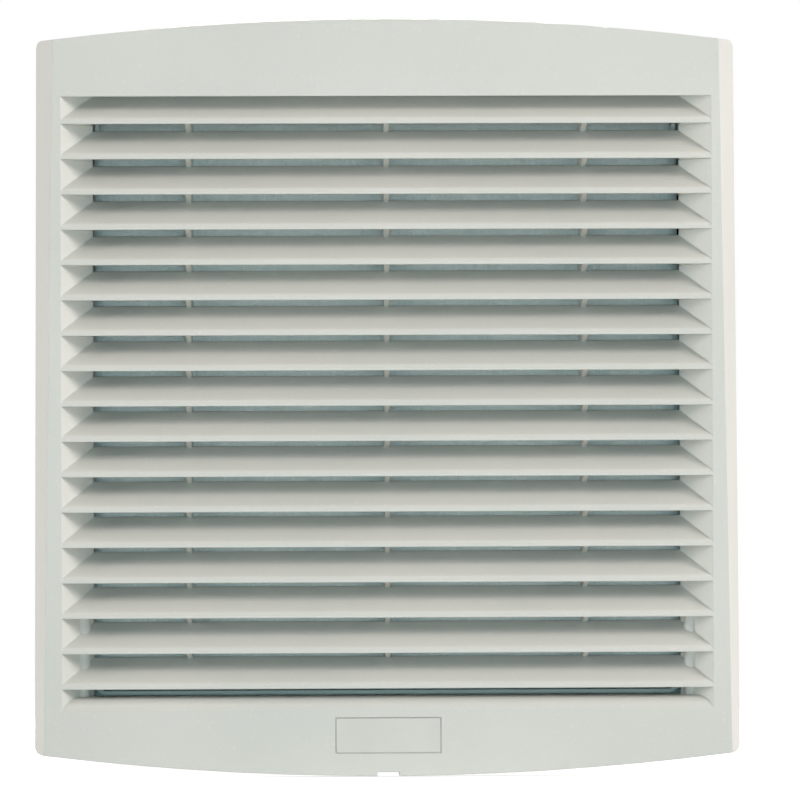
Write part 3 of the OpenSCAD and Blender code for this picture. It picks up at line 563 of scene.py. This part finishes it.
# Stage, lamps and camera
def stage_floor():
    size = 8.0
    clearance = 0.4 * MM
    z = cad_box[0][2] - clearance
    data = bpy.data.meshes.new("floor")
    corners = [(-size, -size, z), (size, -size, z), (size, size, z), (-size, size, z)]
    data.from_pydata(corners, [], [(0, 1, 2, 3)])
    floor = bpy.data.objects.new("floor", data)
    scene.collection.objects.link(floor)
    m = Mat("floor")
    tone = m.remap(m.noise(0.8, 2), 0.3, 0.7, 0, 1)
    colour = m.blend(tone, (0.80, 0.80, 0.79, 1), (0.83, 0.83, 0.82, 1))
    m.link(colour, m.shader.inputs["Base Color"])
    m.shader.inputs["Roughness"].default_value = 0.9
    m.shader.inputs["Specular IOR Level"].default_value = 0.0
    # White far away, a little less near the object, so that its shadow shows
    path = m.node("ShaderNodeLightPath")
    mirrored = m.maths("MAXIMUM", path.outputs["Is Glossy Ray"], path.outputs["Is Transmission Ray"])
    seen = m.maths("MAXIMUM", path.outputs["Is Camera Ray"], mirrored)
    reach = m.node("ShaderNodeVectorMath", operation="LENGTH")
    m.link(m.coords, reach.inputs[0])
    level = m.remap(reach.outputs["Value"], 0.35, 1.0, 0.68, 1.0)
    glow = m.node("ShaderNodeEmission")
    m.link(m.maths("MULTIPLY", seen, level), glow.inputs["Strength"])
    both = m.node("ShaderNodeAddShader")
    m.link(m.shader.outputs[0], both.inputs[0])
    m.link(glow.outputs[0], both.inputs[1])
    m.link(both.outputs[0], m.output.inputs["Surface"])
    floor.data.materials.append(m.material)


def world_light(ambient):
    """A faint even light, and white where the camera or a reflection looks past the floor."""
    world = bpy.data.worlds.new("studio")
    scene.world = world
    world.use_nodes = True
    tree = world.node_tree
    tree.nodes.clear()
    path = tree.nodes.new("ShaderNodeLightPath")
    mirrored = tree.nodes.new("ShaderNodeMath")
    mirrored.operation = "MAXIMUM"
    seen = tree.nodes.new("ShaderNodeMath")
    seen.operation = "MAXIMUM"
    tree.links.new(path.outputs["Is Glossy Ray"], mirrored.inputs[0])
    tree.links.new(path.outputs["Is Transmission Ray"], mirrored.inputs[1])
    tree.links.new(mirrored.outputs[0], seen.inputs[0])
    tree.links.new(path.outputs["Is Camera Ray"], seen.inputs[1])
    lit = tree.nodes.new("ShaderNodeBackground")
    lit.inputs["Color"].default_value = ambient
    white = tree.nodes.new("ShaderNodeBackground")
    white.inputs["Color"].default_value = (1, 1, 1, 1)
    mix = tree.nodes.new("ShaderNodeMixShader")
    out = tree.nodes.new("ShaderNodeOutputWorld")
    tree.links.new(seen.outputs[0], mix.inputs[0])
    tree.links.new(lit.outputs[0], mix.inputs[1])
    tree.links.new(white.outputs[0], mix.inputs[2])
    tree.links.new(mix.outputs[0], out.inputs["Surface"])


def lamp(name, place, aim, size, energy, colour):
    data = bpy.data.lights.new(name, "AREA")
    data.shape = "RECTANGLE"
    data.size, data.size_y = size
    data.energy = energy
    data.color = colour
    obj = bpy.data.objects.new(name, data)
    scene.collection.objects.link(obj)
    obj.location = place
    obj.rotation_euler = (Vector(aim) - Vector(place)).to_track_quat("-Z", "Y").to_euler()


def camera(place, yaw, pitch, roll, focal_px):
    data = bpy.data.cameras.new("camera")
    data.sensor_width = 36
    data.lens = focal_px * data.sensor_width / IMAGE_PX
    data.clip_end = 50
    obj = bpy.data.objects.new("camera", data)
    scene.collection.objects.link(obj)
    level = math.cos(pitch)
    forward = Vector((-math.sin(yaw) * level, math.cos(yaw) * level, math.sin(pitch)))
    right = Vector((math.cos(yaw), math.sin(yaw), 0))
    up = right.cross(forward)
    turned = right * math.cos(roll) + up * math.sin(roll)
    upright = -right * math.sin(roll) + up * math.cos(roll)
    axes = Matrix((turned, upright, -forward)).transposed().to_4x4()
    obj.matrix_world = Matrix.Translation(Vector(place)) @ axes
    scene.camera = obj


# Name, place, width and height in metres, power in watts, colour
FRONT_LAMPS = (
    ("right_front", (1.946, -1.382, 1.058), (1.0, 0.9), 49, (1.0, 0.95, 0.925)),
    ("left_front", (-0.97, -0.70, 0.53), (0.5, 0.45), 1.3, (1.0, 0.88, 0.78)),
    ("left_low", (-2.305, -0.6, 0.126), (0.8, 0.44), 23.5, (1.0, 0.99, 0.97)),
    ("right_low", (1.163, -0.31, 0.063), (0.4, 0.22), 1.6, (1.0, 0.99, 0.96)),
    ("top", (0.0, -0.465, 1.222), (1.0, 0.5), 2.2, (1.0, 0.93, 0.86)),
    ("front_fill", (0.0, -1.45, -0.1), (0.25, 0.06), 3.3, (0.52, 0.9, 1.0)),
)
COVER_AIM = (0, -0.02, 0)
FAN_AIM = (0, 0.04, 0)

stage_floor()
world_light((0.012, 0.014, 0.014, 1))
for name, place, size, energy, colour in FRONT_LAMPS:
    lamp(name, place, COVER_AIM, size, energy, colour)
lamp("back", (0.0, 1.5, 0.5), FAN_AIM, (0.5, 0.5), 18, (1.0, 0.98, 0.96))
camera((-0.01816, -1.4, -0.09249), -0.01648, 0.06631, -0.00448, 3890.9)
